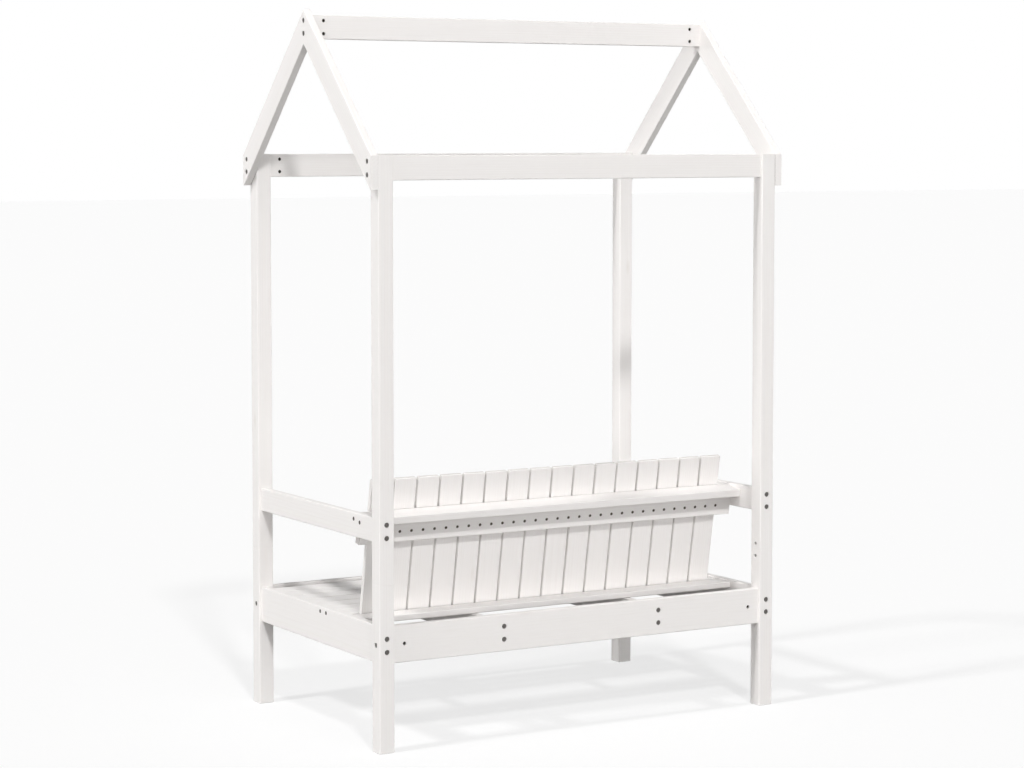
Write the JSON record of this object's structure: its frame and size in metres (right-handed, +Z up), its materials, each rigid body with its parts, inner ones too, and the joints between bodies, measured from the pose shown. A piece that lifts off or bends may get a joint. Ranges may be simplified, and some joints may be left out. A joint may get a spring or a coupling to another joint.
{
  "type": "arbour seat",
  "caption": "Slatted timber garden bench set between four square posts, with arm rails, a leaning slatted back with a narrow plank behind it, and an open pitched roof frame.",
  "frame": {"origin": "on the ground, in the middle of the four posts", "axes": "+Z up, X along the seat with +X to the sitter's left, -Y the way the sitter faces"},
  "size_m": [1.33, 0.8, 2],
  "materials": {
    "painted_timber": "opaque white satin paint on planed softwood",
    "bolt_steel": "dark socket head bolts",
    "zinc_steel": "dull plated steel",
    "screw_steel": "dull dark screw heads"
  },
  "bodies": {
    "root": {"apron_bolts": "bolt_steel", "arm_rail_bolts": "bolt_steel", "back_plank": "painted_timber", "back_slat_01": "painted_timber", "back_slat_02": "painted_timber", "back_slat_03": "painted_timber", "back_slat_04": "painted_timber", "back_slat_05": "painted_timber", "back_slat_06": "painted_timber", "back_slat_07": "painted_timber", "back_slat_08": "painted_timber", "back_slat_09": "painted_timber", "back_slat_10": "painted_timber", "back_slat_11": "painted_timber", "back_slat_12": "painted_timber", "back_slat_13": "painted_timber", "back_slat_14": "painted_timber", "back_slat_15": "painted_timber", "back_slat_16": "painted_timber", "frame_barrel_nuts": "zinc_steel", "front_apron": "painted_timber", "front_left_post_lower": "painted_timber", "front_left_post_upper": "painted_timber", "front_left_rafter": "painted_timber", "front_right_post_lower": "painted_timber", "front_right_post_upper": "painted_timber", "front_right_rafter": "painted_timber", "front_top_rail": "painted_timber", "joist_bolts": "bolt_steel", "left_apron": "painted_timber", "left_arm_rail": "painted_timber", "left_joist": "painted_timber", "plank_screws": "screw_steel", "post_joint_rods": "zinc_steel", "rear_apron": "painted_timber", "rear_left_post_lower": "painted_timber", "rear_left_post_upper": "painted_timber", "rear_left_rafter": "painted_timber", "rear_right_post_lower": "painted_timber", "rear_right_post_upper": "painted_timber", "rear_right_rafter": "painted_timber", "rear_top_rail": "painted_timber", "ridge_board": "painted_timber", "right_apron": "painted_timber", "right_arm_rail": "painted_timber", "right_joist": "painted_timber", "roof_barrel_nuts": "zinc_steel", "roof_bolts": "bolt_steel", "seat_board_1": "painted_timber", "seat_board_2": "painted_timber", "seat_board_3": "painted_timber", "seat_board_4": "painted_timber", "seat_board_5": "painted_timber", "seat_board_6": "painted_timber", "seat_board_7": "painted_timber", "seat_board_8": "painted_timber", "seat_screws": "screw_steel", "slat_batten": "painted_timber", "slat_screws": "screw_steel"}
  },
  "joints": []
}
